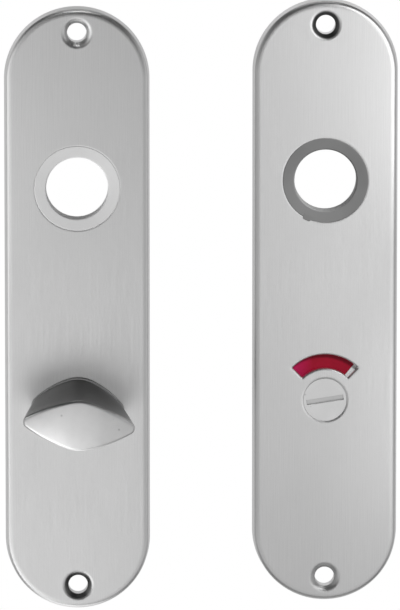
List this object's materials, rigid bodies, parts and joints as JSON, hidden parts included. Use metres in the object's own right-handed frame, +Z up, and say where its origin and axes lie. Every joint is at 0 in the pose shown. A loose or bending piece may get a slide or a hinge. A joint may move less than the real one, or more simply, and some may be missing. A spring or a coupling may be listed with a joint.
{
  "type": "bathroom door plate pair with thumbturn and coin release",
  "caption": "Pair of long round-ended door plates, an inside one with a thumbturn and an outside one with an occupied window and a coin release.",
  "frame": {"origin": "centre of the inside plate's lever bore, on the face of the door that the plates sit on", "axes": "+Z up along the door, +Y into the door, +X to the right as seen from the room, from the inside plate to the outside plate"},
  "size_m": [0.111, 0.077, 0.1745],
  "materials": {
    "brushed_aluminium": "satin, fine upright brushing",
    "satin_aluminium": "satin, bead blasted and anodised",
    "rivet_aluminium": "mill finish",
    "light_grey_plastic": "fine moulded matte",
    "dark_grey_plastic": "fine moulded matte",
    "natural_nylon": "moulded, slightly waxy",
    "white_plastic": "smooth moulded",
    "red_plastic": "smooth moulded, deep red",
    "spring_steel": "blued and oiled",
    "black_steel": "black oxide",
    "zinc_steel": "bright zinc plated"
  },
  "bodies": {
    "root": {"inside_plate": "brushed_aluminium", "inside_lever_bush": "light_grey_plastic", "inside_bush_retainer": "spring_steel", "thumbturn_bearing": "natural_nylon", "outside_plate": "brushed_aluminium", "outside_lever_bush": "dark_grey_plastic", "outside_bush_retainer": "spring_steel", "indicator_keeper": "zinc_steel", "keeper_rivets": "rivet_aluminium"},
    "thumbturn": {"thumbturn_knob": "satin_aluminium", "thumbturn_grub_screw": "black_steel", "thumbturn_spindle": "zinc_steel", "thumbturn_thrust_washer": "zinc_steel", "thumbturn_spring_washer": "spring_steel", "thumbturn_circlip": "spring_steel"},
    "indicator": {"coin_release_rotor": "satin_aluminium", "indicator_disc": "white_plastic", "indicator_red_segment": "red_plastic", "indicator_glide_washer": "natural_nylon", "indicator_spring_washer": "spring_steel"}
  },
  "joints": [
    {"name": "thumbturn_turn", "type": "hinge", "parent": "root", "child": "thumbturn", "pos_m": [0, 0, -0.063], "axis": [0, -1, 0], "range_deg": [-86, 4]},
    {"name": "release_turn", "type": "hinge", "parent": "root", "child": "indicator", "pos_m": [0.07, 0, -0.061], "axis": [0, -1, 0], "range_deg": [-4, 86]}
  ]
}
